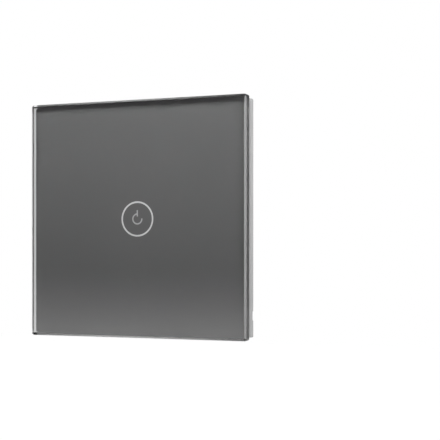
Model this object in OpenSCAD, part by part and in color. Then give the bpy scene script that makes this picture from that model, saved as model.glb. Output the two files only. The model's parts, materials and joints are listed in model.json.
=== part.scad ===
// Glass touch light switch: a pull-off glass panel on a steel mounting plate, with a round stepped
// housing behind the wall that holds the sensor board, the supply board, the relay and the terminals.
// The wall's face is the plane y = 0. The panel faces -y, +x is its right-hand side and +z is up.

/* [Glass panel] */
// Width of the glass
panel_w = 86; // [82:0.5:130]
// Height of the glass
panel_h = 86; // [82:0.5:130]
// Thickness of the glass
glass_t = 4.0; // [2.5:0.1:6]
// Ground chamfer on the glass's front and rear edges
glass_chamfer = 0.7; // [0.3:0.05:1]
// Radius of the glass's upright corners
glass_corner_r = 1.2; // [1.1:0.1:4]
// Thickness of the ink on the glass's rear face
print_t = 0.1; // [0.05:0.01:0.2]
// Thickness of the bonding tape
tape_t = 0.4; // [0.2:0.05:1]

/* [Touch mark] */
// Outer diameter of the touch ring
ring_d = 12.8; // [11:0.1:13.2]
// Line width of the touch ring
ring_line = 0.6; // [0.3:0.05:1]
// Middle radius of the mark's open arc
mark_r = 1.8; // [1.2:0.1:3]
// Line width of the mark
mark_line = 0.5; // [0.3:0.05:0.8]
// Angle at which the mark's arc ends, from the right
mark_gap_from = 5; // [0:1:40]
// Angle at which the mark's arc begins, from the right
mark_gap_to = 94; // [90:1:96]
// Height of the mark's bar above the ring's centre, lower end
bar_low = 0.9; // [0.2:0.1:1.2]
// Height of the mark's bar above the ring's centre, upper end
bar_high = 3.2; // [2.4:0.1:4]

/* [Panel frame] */
// Depth of the frame from the tape to the wall
frame_depth = 4.8; // [4.4:0.1:8]
// How far the frame's rear edge stands in from the glass
frame_inset = 0.7; // [0.4:0.05:2]
// Extra inset of the frame's front edge
frame_flare = 0.25; // [0.05:0.05:0.5]
// Wall thickness of the frame
frame_wall = 2.0; // [1.4:0.1:3]
// Thickness of the frame's front web
frame_web = 1.2; // [0.8:0.1:1.4]
// Diameter of the window in the web
window_d = 20; // [19:0.5:26]
// Radius of the frame's upright corners
frame_corner_r = 0.6; // [0.6:0.1:4]
// Width of the prising notch in the frame's rear edge
notch_w = 3.2; // [2:0.1:8]
// Depth of the prising notch
notch_d = 0.6; // [0.3:0.1:1.2]
// Height of the prising notch's middle, below the centre
notch_below = 34.6; // [20:0.1:36]

/* [Mounting plate] */
// Thickness of the steel plate
plate_t = 1.2; // [0.8:0.1:1.6]
// Distance between the wall box's screws
box_spacing = 60; // [60:0.1:62]
// Length of a mounting slot, end to end
slot_l = 8; // [5:0.5:8]
// Width of a mounting slot
slot_w = 3.8; // [3.2:0.1:4.5]
// Room between the plate's edge and the frame's inside
catch_room = 4.8; // [4:0.1:6]
// Thickness of a catch spring's strip
catch_t = 0.4; // [0.2:0.05:0.5]
// Width of a catch spring
catch_w = 8; // [5:0.5:12]
// Height of the catch springs above and below the centre
catch_z = 18; // [12:0.5:22]

/* [Housing] */
// Diameter of the housing at the wall
body_d = 50.6; // [50.2:0.1:51]
// Diameter of the housing at its rear end
body_d_rear = 50.0; // [49.6:0.1:50.6]
// Depth of the housing behind the wall
body_depth = 24.7; // [24:0.1:36]
// Wall thickness of the housing
body_wall = 1.6; // [1.2:0.1:1.8]
// Height of the step above the centre
step_z = 14.6; // [14.2:0.1:14.8]
// Depth of the housing above the step
step_y = 16.5; // [16.2:0.1:17]
// Thickness of the terminal cover
cover_t = 2.3; // [1.8:0.1:4]
// Width of the terminal cover
cover_w = 24; // [20:0.5:28]
// Radius of the terminal cover's round top
cover_r = 24.9; // [24:0.1:25]
// Width of a vent slot
vent_w = 1.55; // [1:0.05:2]
// Distance from the wall to the front end of the vent slots
vent_y = 16.8; // [15:0.1:20]
// Angle between vent slots
vent_pitch = 10; // [8:0.5:12]

/* [Boards] */
// Thickness of the touch board
touch_board_t = 1.0; // [0.8:0.1:1.2]
// Thickness of the power board
power_board_t = 1.6; // [1.2:0.1:1.6]
// Gap between the two boards
board_gap = 1.8; // [1.5:0.1:3]
// Wire diameter of the touch spring
spring_wire = 0.6; // [0.4:0.05:0.7]
// Middle diameter of the touch spring
spring_d = 7.2; // [5:0.1:8]
// Number of curls of the touch spring
spring_turns = 3; // [2:1:3]

/* [Terminals] */
// Distance between two terminals
terminal_pitch = 5.0; // [4.9:0.1:6.2]
// Thread diameter of a terminal screw
terminal_screw_d = 3.0; // [2.5:0.1:3]
// Head diameter of a terminal screw
terminal_head_d = 3.9; // [3.6:0.1:4]
// Travel of a clamp cage
clamp_travel = 2.4; // [1.5:0.1:2.4]
// Thickness of a contact bar
contact_t = 0.8; // [0.5:0.1:0.8]

/* [Relay] */
// Width of the relay
relay_w = 19; // [18.8:0.1:19.4]
// Depth of the relay's footprint
relay_d = 15.5; // [14.5:0.1:16]
// Height of the relay
relay_h = 15.5; // [15.2:0.1:17]
// Wall thickness of the relay's case
relay_wall = 0.8; // [0.5:0.1:0.8]
// Tilt of the armature when the relay pulls in, in degrees
relay_tilt = 4.5; // [2:0.5:4.5]

/* [Hidden] */
$fn = 64;

// Overrun of a cut past the face it opens
cut = 1;
// Clearance of a push fit, of a screw in its thread, of a screw through a hole and of a loose part
fit_gap = 0.05;
thread_gap = 0.02;
hole_gap = 0.1;
loose_gap = 0.3;

// Depths, from the wall forwards
frame_front = -frame_depth;
web_rear = frame_front + frame_web;
tape_front = frame_front - tape_t;
print_front = tape_front - print_t;
glass_front = print_front - glass_t;
plate_front = -plate_t;
flange_t = 1.2;
flange_front = plate_front - flange_t;

// The frame's outline and inside
frame_w = panel_w - 2 * frame_inset;
frame_h = panel_h - 2 * frame_inset;
frame_in_w = frame_w - 2 * frame_wall;
frame_in_h = frame_h - 2 * frame_wall;
seat_post_d = 4;
seat_post_in = 3.2;
tape_inset = 0.4;
print_inset = 0.1;

// The plate and its catches: each strip runs out from its rivet and folds back in a hairpin
plate_w = frame_in_w - 2 * catch_room;
plate_h = frame_in_h - 2 * catch_room;
plate_corner_r = 4;
catch_bend_r = 1.1;
catch_reach = 0.2;
groove_depth = 0.35;
groove_margin = 0.5;
catch_x = frame_in_w / 2 + catch_reach - catch_bend_r;
catch_y = plate_front - catch_bend_r;
catch_foot = 9.9;
catch_return = 3;
rivet_d = 2;
rivet_head_d = 3.4;
rivet_head_h = 0.6;
rivet_in = 8;

// Flange screws and housing screws
flange_margin = 0.9;
flange_w = body_d + 2 * flange_margin;
flange_r = 6;
plate_screw_d = 2.5;
plate_screw_in = 3.6;
plate_screw_at = flange_w / 2 - plate_screw_in;
screw_head_d = 3.8;
screw_head_h = 0.9;
screw_slot_w = 0.5;
screw_slot_l = 2.4;
screw_slot_h = 0.5;
module_screw_d = 2.2;
module_screw_l = 7;
boss_d = 5;
boss_sink = 0.2;
boss_angles = [-23, 203, 55, 125];

// Inside of the housing
in_r = body_d / 2 - body_wall;
in_r_rear = body_d_rear / 2 - body_wall;
floor_y = body_depth - body_wall;
step_floor_y = step_y - body_wall;
rear_chamfer = 0.4;
vent_past = 0.6;
vent_cut = body_wall + vent_past;
vent_rows = [2, 1, 0, -1, -3, -4, -5, -6, -7];
vent_first = -3;
rib_t = 1.4;
rib_gap = 0.7;
ledge_w = 1.6;
ledge_l = 8;
ledge_in = 1.7;
ledge_angles = [0, 180, -67, -113, 22, 158];
function boss_pos(i) = (in_r - boss_d / 2 + boss_sink) * [cos(boss_angles[i]), sin(boss_angles[i])];
function boss_end(i) = sin(boss_angles[i]) > 0 ? step_y : floor_y;

// Boards and the module cover, which clamps them on the housing's ledges
disc_t = 1;
mouth_gap = 0.2;
disc_rear = flange_front + disc_t;
skirt_l = 2;
touch_front = disc_rear + skirt_l;
touch_rear = touch_front + touch_board_t;
power_front = touch_rear + board_gap;
power_rear = power_front + power_board_t;
board_in = 0.8;
board_r = in_r - board_in;
board_notch = 0.3;
skirt_w = 2.4;
turret_d = 18;
turret_front = web_rear + loose_gap;
leg_d = 3;
legs = [[-16.5, 8], [13.5, 12.8], [0, -18.5]];

// Light guide: a clear tube with a foot that the module cover holds down
guide_over = 0.3;
guide_under = 0.4;
guide_d = ring_d + 2 * guide_over;
guide_in_d = ring_d - 2 * (ring_line + guide_under);
guide_foot_d = 15.6;
guide_foot_l = 1.2;
guide_foot_in_d = 14;
guide_front = tape_front + loose_gap;
led_room = 0.8;
led_size = [0.8, 0.6, 1.6];
led_count = 4;
led_turn = 45;

// Touch spring, unrolled on its cylinder: along the curl, up from the board and slope in degrees
spring_l = touch_front - tape_front - fit_gap;
spring_bend = 0.5;
spring_rings = 8;
spring_sides = 6;
curl_l = PI * spring_d;
spring_rise = spring_l - 2 * spring_wire - 2 * spring_bend;
spring_slope = atan(spring_rise / (curl_l * spring_turns));
bend_steps = 3;
function spring_bend_at(s) = [spring_bend * (1 - sin(s)), spring_bend * cos(s), s];
spring_in = [for (i = [0:bend_steps - 1]) spring_bend_at(90 - i * (90 - spring_slope) / bend_steps)];
spring_top = spring_bend_at(spring_slope);
spring_end = [
    2 * spring_top[0] + curl_l * spring_turns,
    2 * spring_top[1] + curl_l * spring_turns * tan(spring_slope)
];
spring_path = concat(
    [[0, 0, 90]],
    [for (p = spring_in) [p[0], p[1] + spring_wire, p[2]]],
    [
        for (i = [0:spring_rings * spring_turns])
            [
                spring_top[0] + curl_l * i / spring_rings,
                spring_wire + spring_top[1] + curl_l * i / spring_rings * tan(spring_slope),
                spring_slope
            ]
    ],
    [
        for (i = [bend_steps - 1:-1:0])
            [spring_end[0] - spring_in[i][0], spring_wire + spring_end[1] - spring_in[i][1], spring_in[i][2]]
    ],
    [[spring_end[0], spring_l, 90]]
);
function spring_angle(p) = p[0] / spring_d * 360 / PI;
function spring_point(p) = [
    spring_d / 2 * cos(spring_angle(p)),
    touch_front - p[1],
    spring_d / 2 * sin(spring_angle(p))
];
function spring_side(p) = [
    sin(p[2]) * sin(spring_angle(p)),
    -cos(p[2]),
    -sin(p[2]) * cos(spring_angle(p))
];
function spring_out(p) = [cos(spring_angle(p)), 0, sin(spring_angle(p))];
function spring_ring(p) = [
    for (k = [0:spring_sides - 1])
        spring_point(p) + spring_wire / 2
            * (cos(k * 360 / spring_sides) * spring_out(p) + sin(k * 360 / spring_sides) * spring_side(p))
];
spring_points = [for (p = spring_path) spring_point(p)];
spring_self_gap = min([
    for (i = [0:len(spring_points) - 1])
        for (j = [i + spring_rings / 2:1:len(spring_points) - 1])
            norm(spring_points[i] - spring_points[j]) - spring_wire
]);
echo(str("Touch spring, least gap to itself in mm: ", spring_self_gap));

// Header and the small parts on the touch board
header_at = [17, 0];
header_pins_n = 5;
header_step = 2.54;
header_w = 2.5;
pin_d = 0.8;
pin_out = 0.8;
chip_at = [-8, 2];
chip_size = [5, 0.9, 4.4];
passive_size = [1.6, 0.5, 0.8];
passive_at = [-8, -6];
passive_step = 2.4;
passive_n = 6;

// Terminals: a cage under each screw slides in its cell, and the contact bar runs through the cage
terminals = 3;
cell_wall = 0.7;
cage_w = terminal_pitch - cell_wall - 2 * fit_gap;
block_w = terminals * terminal_pitch + cell_wall;
block_gap = 0.3;
block_round_gap = 0.4;
block_z0 = step_z + block_gap;
block_z1 = sqrt(pow(in_r - block_round_gap, 2) - pow(block_w / 2, 2));
roof_t = 0.8;
block_below = 0.9;
block_rear = step_y - block_below;
roof_y = block_rear - roof_t;
cage_side = 0.5;
cage_top = 1.2;
cage_bottom = 0.7;
cage_room = clamp_travel + contact_t + 2 * fit_gap;
cage_l = cage_top + cage_room + cage_bottom;
cage_y1 = roof_y - fit_gap - clamp_travel - hole_gap;
cage_y0 = cage_y1 - cage_l;
contact_y1 = cage_y1 - cage_top - fit_gap;
contact_y0 = contact_y1 - contact_t;
contact_w = 2.8;
leg_w = 1.8;
leg_t = 0.6;
cell_back = 0.4;
cell_z0 = block_z0 + cell_back;
cell_z1 = block_z1 - cell_wall;
cage_back_gap = 0.3;
cage_front_gap = 0.2;
cage_z0 = cell_z0 + leg_t + cage_back_gap;
cage_z1 = cell_z1 - cage_front_gap;
screw_z = (cage_z0 + cage_z1) / 2;
wire_y = (cage_y0 + cage_bottom + contact_y0) / 2;
wire_hole_d = 2.8;
wire_entry_d = 3.6;
head_h = 1.6;
head_slot_w = 0.7;
head_slot_h = 0.8;
access_gap = 0.25;
access_d = terminal_head_d + 2 * access_gap;
spigot_l = 0.8;
cover_edge = 0.65;
cover_rear = step_y + cover_t;
opening_gap = 0.3;
function pole_x(n) = (n - (terminals + 1) / 2) * terminal_pitch;

// Relay, standing on the power board: u across, h up from the board, w along z
relay_at = [-5, -3];
relay_base_t = 1.2;
yoke_t = 1;
yoke_u = 6;
yoke_w = 8;
relay_headroom = 3.1;
yoke_h = relay_h - relay_headroom;
core_d = 4;
pole_d = 6.4;
pole_t = 0.6;
pole_gap = 0.85;
armature_t = 1;
armature_w = 7.6;
armature_end = -4.6;
armature_h = yoke_h + fit_gap;
pole_h = armature_h - pole_gap;
bobbin_w = 10.4;
bobbin_flange = 0.8;
bobbin_tube_d = 5.4;
winding_d = 10;
leaf_t = 0.3;
leaf_w = 4;
leaf_end = -8.4;
leaf_start = 4.5;
button_u = -7.2;
button_d = 2.6;
button_t = 0.8;
contact_gap = (yoke_u - button_u + button_d / 2) * sin(relay_tilt) + fit_gap;
fixed_top = armature_h + armature_t - button_t - contact_gap;
strip_t = 0.6;
hinge_leaf_w = 5;
hinge_leaf_h0 = 4;
hinge_leaf_u = 4.8;
relay_pin_at = [[2, 6.2], [2, -6.2], [7.6, 0], [-7.8, 3], [-7.8, -3]];

// Parts of the supply, each standing on the power board
film_at = [-3, -16];
film_size = [16, 12, 6];
film_leads = 5;
storage_angle = -43;
storage_d = 8;
storage_l = 16.5;
storage_margin = 0.8;
storage_at = (in_r - storage_margin - storage_d / 2) * [cos(storage_angle), sin(storage_angle)];
storage_leads = 1.75;
seal_t = 1.4;
seal_in = 0.5;
varistor_at = [-11, 9];
varistor_d = 9;
varistor_t = 3.6;
varistor_lift = 0.3;
varistor_leads = 2.5;
fuse_at = [-1, 9.2];
fuse_d = 8;
fuse_l = 8;
fuse_leads = 2.5;
rectifier_at = [11.2, -1.8];
rectifier_size = [8.4, 3.6, 6.4];
rectifier_leads = [2.7, 2.2];
choke_at = [9.5, 7.5];
choke_d = 8.4;
choke_l = 10;
choke_flange = 1.2;
choke_core_d = 4;
choke_leads = 2.5;
transistor_at = [16.2, 9.2];
transistor_d = 4.6;
transistor_l = 4.6;
transistor_flat = 1.3;
transistor_leads = 1.27;
leads = concat(
    [for (s = [-1, 1]) film_at + [s * film_leads, 0]],
    [for (s = [-1, 1]) storage_at + [s * storage_leads, 0]],
    [for (s = [-1, 1]) varistor_at + [s * varistor_leads, 0]],
    [for (s = [-1, 1]) fuse_at + [s * fuse_leads, 0]],
    [for (s = [-1, 1]) choke_at + [s * choke_leads, 0]],
    [for (s = [-1, 0, 1]) transistor_at + [0, s * transistor_leads]],
    [for (s = [-1, 1]) for (t = [-1, 1]) rectifier_at + [s * rectifier_leads[0], t * rectifier_leads[1]]]
);
relay_leads = [for (p = relay_pin_at) relay_at + p];
header_leads = [
    for (i = [0:header_pins_n - 1]) header_at + [0, (i - (header_pins_n - 1) / 2) * header_step]
];

// Colours
print_grey = "#5b5b5c";
frame_grey = "#8c8d8e";
black_plastic = "#151516";
steel = "#b9bbbd";
brass = "#c6a14e";
board_green = "#1f5a3a";

// An outline seen from the front, thickened from y0 back to y1
module slab(y0, y1) {
    translate([0, y1, 0])
        rotate([90, 0, 0])
            linear_extrude(y1 - y0)
                children();
}

// A round bar along y at a place seen from the front
module rod(at, y0, y1, d) {
    translate([at[0], y1, at[1]])
        rotate([90, 0, 0])
            cylinder(d = d, h = y1 - y0);
}

// A box from its low corner to its high corner
module block(low, high) {
    translate(low)
        cube(high - low);
}

// A shape turned about the y axis from a profile of [radius, y]
module turned(profile) {
    rotate([-90, 0, 0])
        rotate_extrude()
            polygon(profile);
}

module rounded_rect(w, h, r) {
    square([w, h - 2 * r], center = true);
    square([w - 2 * r, h], center = true);
    for (x = [-1, 1], z = [-1, 1])
        translate([x * (w / 2 - r), z * (h / 2 - r)])
            circle(r);
}

module slot_outline(l, w) {
    square([l - w, w], center = true);
    for (x = [-1, 1])
        translate([x * (l - w) / 2, 0])
            circle(d = w);
}

// A plate with rounded upright corners whose edge follows a profile of [y, inset]
module profiled_plate(w, h, r, profile) {
    n = len(profile);
    for (turn = [0, 90]) {
        across = turn == 0 ? w : h;
        along = (turn == 0 ? h : w) - 2 * r;
        rotate([0, turn, 0])
            translate([0, 0, -along / 2])
                linear_extrude(along)
                    polygon(concat(
                        [for (p = profile) [across / 2 - p[1], p[0]]],
                        [for (i = [n - 1:-1:0]) [profile[i][1] - across / 2, profile[i][0]]]
                    ));
    }
    for (x = [-1, 1], z = [-1, 1])
        translate([x * (w / 2 - r), 0, z * (h / 2 - r)])
            turned(concat(
                [[0, profile[0][0]]],
                [for (p = profile) [r - p[1], p[0]]],
                [[0, profile[n - 1][0]]]
            ));
}

// A pan-head screw along y with a cross slot in its head
module screw(at, head_front, shank_d, shank_end) {
    head_rear = head_front + screw_head_h;
    difference() {
        rod(at, head_front, head_rear, screw_head_d);
        translate([at[0], head_front, at[1]])
            for (turn = [0, 90])
                rotate([0, turn, 0])
                    cube([screw_slot_l, 2 * screw_slot_h, screw_slot_w], center = true);
    }
    rod(at, head_rear, shank_end, shank_d);
}

module ring_outline() {
    difference() {
        circle(d = ring_d);
        circle(d = ring_d - 2 * ring_line);
    }
}

module mark_outline() {
    reach = 2 * mark_r;
    middle = (mark_gap_from + mark_gap_to) / 2;
    difference() {
        circle(mark_r + mark_line / 2);
        circle(mark_r - mark_line / 2);
        polygon(concat(
            [[0, 0]],
            [for (a = [mark_gap_from, middle, mark_gap_to]) reach * [cos(a), sin(a)]]
        ));
    }
    translate([-mark_line / 2, bar_low])
        square([mark_line, bar_high - bar_low]);
}

module glass_panel() {
    color("#c4cccd", 0.4)
        profiled_plate(panel_w, panel_h, glass_corner_r, [
            [glass_front, glass_chamfer],
            [glass_front + glass_chamfer, 0],
            [print_front - glass_chamfer, 0],
            [print_front, glass_chamfer]
        ]);
}

module glass_print() {
    inset = 2 * (glass_chamfer + print_inset);
    color(print_grey)
        slab(print_front, tape_front)
            difference() {
                rounded_rect(panel_w - inset, panel_h - inset, glass_corner_r);
                ring_outline();
                mark_outline();
            }
}

module touch_ring() {
    color("#e4e4e4")
        slab(print_front, tape_front)
            ring_outline();
}

module power_mark() {
    color("#e4e4e4")
        slab(print_front, tape_front)
            mark_outline();
}

module bond_tape() {
    inset = 2 * (frame_flare + tape_inset);
    color("#1c1c1d")
        slab(tape_front, frame_front)
            difference() {
                rounded_rect(frame_w - inset, frame_h - inset, frame_corner_r);
                circle(d = window_d);
            }
}

module panel_carrier() {
    post_x = plate_w / 2 - seat_post_in;
    post_z = plate_h / 2 - seat_post_in;
    groove_l = catch_w + 2 * groove_margin;
    color(frame_grey) {
        difference() {
            profiled_plate(frame_w, frame_h, frame_corner_r, [[frame_front, frame_flare], [0, 0]]);
            block([-frame_in_w, 2 * web_rear, -frame_in_h] / 2, [frame_in_w, 2 * cut, frame_in_h] / 2);
            rod([0, 0], frame_front - cut, web_rear + cut, window_d);
            for (x = [-1, 1], z = [-1, 1])
                translate([x * frame_in_w / 2, catch_y, z * catch_z])
                    cube([2 * groove_depth, 2 * catch_bend_r, groove_l], center = true);
            for (x = [-1, 1])
                translate([x * frame_w / 2, 0, -notch_below])
                    cube([2 * notch_d, 2 * notch_d, notch_w], center = true);
        }
        for (x = [-1, 1], z = [-1, 1])
            rod([x * post_x, z * post_z], web_rear, plate_front - fit_gap, seat_post_d);
    }
}

module mounting_plate() {
    color(steel)
        slab(plate_front, 0)
            difference() {
                rounded_rect(plate_w, plate_h, plate_corner_r);
                circle(d = body_d + 2 * loose_gap);
                for (turn = [0:90:270])
                    rotate(turn)
                        translate([box_spacing / 2, 0])
                            slot_outline(slot_l, slot_w);
                for (x = [-1, 1], z = [-1, 1]) {
                    translate([x * plate_screw_at, z * plate_screw_at])
                        circle(d = plate_screw_d + 2 * thread_gap);
                    translate([x * (catch_x - rivet_in), z * catch_z])
                        circle(d = rivet_d + 2 * thread_gap);
                }
            }
}

// One catch spring on the right-hand side, seen from above
module catch_spring() {
    difference() {
        translate([0, 0, -catch_w / 2])
            linear_extrude(catch_w) {
                translate([catch_x - catch_foot, plate_front - catch_t])
                    square([catch_foot, catch_t]);
                translate([catch_x - catch_return, catch_y - catch_bend_r])
                    square([catch_return, catch_t]);
                translate([catch_x, catch_y])
                    difference() {
                        circle(catch_bend_r);
                        circle(catch_bend_r - catch_t);
                        translate([-2 * catch_bend_r, -catch_bend_r])
                            square(2 * catch_bend_r);
                    }
            }
        rod([catch_x - rivet_in, 0], plate_front - cut, plate_front + cut, rivet_d + 2 * thread_gap);
    }
}

module catch_springs() {
    color("#d3d0c6")
        for (turn = [0, 1], z = [-1, 1])
            mirror([turn, 0, 0])
                translate([0, 0, z * catch_z])
                    catch_spring();
}

module catch_rivets() {
    head_rear = plate_front - catch_t;
    color("#a9abad")
        for (x = [-1, 1], z = [-1, 1]) {
            at = [x * (catch_x - rivet_in), z * catch_z];
            rod(at, head_rear - rivet_head_h, head_rear, rivet_head_d);
            rod(at, head_rear, -hole_gap, rivet_d);
        }
}

module plate_screws() {
    color(steel)
        for (x = [-1, 1], z = [-1, 1])
            screw(
                [x * plate_screw_at, z * plate_screw_at],
                flange_front - screw_head_h,
                plate_screw_d,
                -hole_gap
            );
}

// The housing's outside, which narrows a little towards the rear
module shell_outside() {
    slab(flange_front, plate_front)
        rounded_rect(flange_w, flange_w, flange_r);
    turned([
        [0, flange_front],
        [body_d / 2, flange_front],
        [body_d / 2, 0],
        [body_d_rear / 2, body_depth - rear_chamfer],
        [body_d_rear / 2 - rear_chamfer, body_depth],
        [0, body_depth]
    ]);
}

// The housing's inside, with the step's two walls left standing in it
module shell_inside() {
    slope = (in_r_rear - in_r) / body_depth;
    difference() {
        turned([
            [0, flange_front - cut],
            [in_r, flange_front - cut],
            [in_r, 0],
            [in_r + slope * floor_y, floor_y],
            [0, floor_y]
        ]);
        block([-body_d, step_floor_y, step_z - body_wall], [body_d, body_depth, body_d]);
    }
}

module vent(angle) {
    rotate([0, -angle, 0])
        translate([body_d / 2 + cut, vent_y + vent_w / 2, 0]) {
            translate([-vent_cut - cut, 0, -vent_w / 2])
                cube([vent_cut + cut, body_depth, vent_w]);
            rotate([0, -90, 0])
                cylinder(d = vent_w, h = vent_cut + cut);
        }
}

module terminal_window(gap, y0, y1) {
    half = block_w / 2 + opening_gap - gap;
    block([-half, y0, step_z + gap], [half, y1, block_z1 + opening_gap - gap]);
}

module body_shell() {
    rib_x = relay_at[0] + relay_w / 2 + rib_gap;
    rib_front = power_rear + choke_l + rib_gap;
    rib_end = sqrt(pow(in_r_rear, 2) - pow(rib_x, 2)) + boss_sink;
    color(black_plastic) {
        difference() {
            union() {
                difference() {
                    shell_outside();
                    shell_inside();
                    block([-body_d, step_y, step_z], [body_d, body_depth + cut, body_d]);
                    terminal_window(0, step_floor_y - cut, step_y + cut);
                    for (n = [1:terminals])
                        translate([pole_x(n), wire_y, block_z1 - cut])
                            cylinder(d = wire_entry_d, h = body_d);
                }
                for (i = [0:len(boss_angles) - 1])
                    rod(boss_pos(i), disc_rear, boss_end(i), boss_d);
                block(
                    [rib_x, rib_front, -rib_end],
                    [rib_x + rib_t, floor_y + boss_sink, step_z - body_wall + boss_sink]
                );
                for (a = ledge_angles)
                    rotate([0, -a, 0])
                        block(
                            [in_r - ledge_in, power_rear, -ledge_w / 2],
                            [in_r + boss_sink, power_rear + ledge_l, ledge_w / 2]
                        );
            }
            for (i = vent_rows, side = [0, 1])
                vent(side * 180 + (1 - 2 * side) * (vent_first + i * vent_pitch));
            for (i = [0:len(boss_angles) - 1])
                rod(
                    boss_pos(i),
                    disc_rear - cut,
                    disc_rear + module_screw_l,
                    module_screw_d + 2 * thread_gap
                );
            for (x = [-1, 1], z = [-1, 1])
                rod(
                    [x * plate_screw_at, z * plate_screw_at],
                    flange_front - cut,
                    plate_front + cut,
                    plate_screw_d + 2 * hole_gap
                );
        }
    }
}

module terminal_cover() {
    color("#0e0e0f")
        difference() {
            union() {
                intersection() {
                    turned([
                        [0, step_y],
                        [cover_r, step_y],
                        [cover_r, cover_rear - cover_edge],
                        [cover_r - cover_edge, cover_rear],
                        [0, cover_rear]
                    ]);
                    block([-cover_w / 2, step_y, step_z + hole_gap], [cover_w / 2, cover_rear, body_d]);
                }
                terminal_window(hole_gap, step_y - spigot_l, step_y);
            }
            for (n = [1:terminals])
                rod([pole_x(n), screw_z], block_rear, cover_rear + cut, access_d);
        }
}

module boss_holes(d) {
    for (i = [0:len(boss_angles) - 1])
        translate(boss_pos(i))
            circle(d = d);
}

module module_cover() {
    color(black_plastic)
        difference() {
            union() {
                slab(flange_front, disc_rear)
                    difference() {
                        circle(in_r - mouth_gap);
                        boss_holes(module_screw_d + 2 * hole_gap);
                    }
                slab(disc_rear, touch_front)
                    difference() {
                        circle(board_r);
                        circle(board_r - skirt_w);
                        boss_holes(boss_d + 2 * board_notch);
                    }
                rod([0, 0], turret_front, touch_front, turret_d);
                for (at = legs)
                    rod(at, disc_rear, power_front, leg_d);
            }
            rod([0, 0], turret_front - cut, touch_front + cut, guide_d + 2 * hole_gap);
            rod([0, 0], touch_front - guide_foot_l, touch_front + cut, guide_foot_d + 2 * hole_gap);
        }
}

module module_screws() {
    head_front = flange_front - screw_head_h;
    shank_end = disc_rear + module_screw_l - cut;
    color(steel)
        for (i = [0:len(boss_angles) - 1])
            screw(boss_pos(i), head_front, module_screw_d, shank_end);
}

module light_guide() {
    foot_front = touch_front - guide_foot_l;
    tube_rear = touch_front - led_room;
    color("#e8f0f2", 0.6)
        turned([
            [guide_in_d / 2, guide_front],
            [guide_d / 2, guide_front],
            [guide_d / 2, foot_front],
            [guide_foot_d / 2, foot_front],
            [guide_foot_d / 2, touch_front],
            [guide_foot_in_d / 2, touch_front],
            [guide_foot_in_d / 2, tube_rear],
            [guide_in_d / 2, tube_rear]
        ]);
}

module touch_spring() {
    n = len(spring_path);
    s = spring_sides;
    last = (n - 1) * s;
    color(steel)
        polyhedron(
            points = [for (p = spring_path) each spring_ring(p)],
            faces = concat(
                [
                    for (i = [0:n - 2])
                        for (k = [0:s - 1])
                            each [
                                [i * s + k, i * s + (k + 1) % s, (i + 1) * s + (k + 1) % s],
                                [i * s + k, (i + 1) * s + (k + 1) % s, (i + 1) * s + k]
                            ]
                ],
                [for (k = [1:s - 2]) [0, k + 1, k]],
                [for (k = [1:s - 2]) [last, last + k, last + k + 1]]
            )
        );
}

module round_board(holes) {
    difference() {
        circle(board_r);
        boss_holes(boss_d + 2 * board_notch);
        for (at = holes)
            translate(at)
                circle(d = pin_d + 2 * hole_gap);
        children();
    }
}

module touch_board() {
    color(board_green)
        slab(touch_front, touch_rear)
            round_board(header_leads)
                for (at = legs)
                    translate(at)
                        circle(d = leg_d + 2 * loose_gap);
}

module touch_chip() {
    color("#202124")
        translate([chip_at[0], touch_rear + chip_size[1] / 2, chip_at[1]])
            cube(chip_size, center = true);
}

module indicator_leds() {
    led_r = (guide_d + guide_in_d) / 4;
    color("#f2edd0")
        for (i = [0:led_count - 1])
            rotate([0, i * 360 / led_count + led_turn, 0])
                translate([led_r, touch_front - led_size[1] / 2, 0])
                    cube(led_size, center = true);
}

module sensor_passives() {
    color("#4a3b30")
        for (i = [0:passive_n - 1])
            translate([passive_at[0] + i * passive_step, touch_rear + passive_size[1] / 2, passive_at[1]])
                cube(passive_size, center = true);
}

module board_header() {
    header_l = header_pins_n * header_step;
    color("#1b1b1c")
        slab(touch_rear, power_front)
            difference() {
                translate(header_at)
                    square([header_w, header_l], center = true);
                for (at = header_leads)
                    translate(at)
                        circle(d = pin_d + 2 * thread_gap);
            }
}

module header_pins() {
    color(brass)
        for (at = header_leads)
            rod(at, touch_front - pin_out, power_rear + pin_out, pin_d);
}

module power_board() {
    leg_z = cell_z0 + leg_t / 2;
    color(board_green)
        slab(power_front, power_rear)
            round_board(concat(header_leads, leads, relay_leads))
                for (n = [1:terminals])
                    translate([pole_x(n), leg_z])
                        square([leg_w, leg_t] + 2 * [hole_gap, hole_gap], center = true);
}

module terminal_block() {
    cell_half = cage_w / 2 + fit_gap;
    color("#1a1a1b")
        difference() {
            block([-block_w / 2, power_rear, block_z0], [block_w / 2, block_rear, block_z1]);
            for (n = [1:terminals])
                translate([pole_x(n), 0, 0]) {
                    block([-cell_half, cage_y0 - fit_gap, cell_z0], [cell_half, roof_y, cell_z1]);
                    rod([0, screw_z], roof_y - cut, block_rear + cut, terminal_screw_d + 2 * hole_gap);
                    translate([0, wire_y, cell_z1 - cut])
                        cylinder(d = wire_hole_d, h = cell_wall + 2 * cut);
                    block(
                        [-leg_w / 2 - hole_gap, power_rear - cut, cell_z0],
                        [leg_w / 2 + hole_gap, cage_y0, cell_z0 + leg_t + hole_gap]
                    );
                }
        }
}

module terminal_contacts() {
    color(brass)
        for (n = [1:terminals])
            translate([pole_x(n), 0, 0]) {
                block([-contact_w / 2, contact_y0, cell_z0], [contact_w / 2, contact_y1, cage_z1]);
                block([-leg_w / 2, power_front - pin_out, cell_z0], [leg_w / 2, contact_y0, cell_z0 + leg_t]);
            }
}

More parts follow.
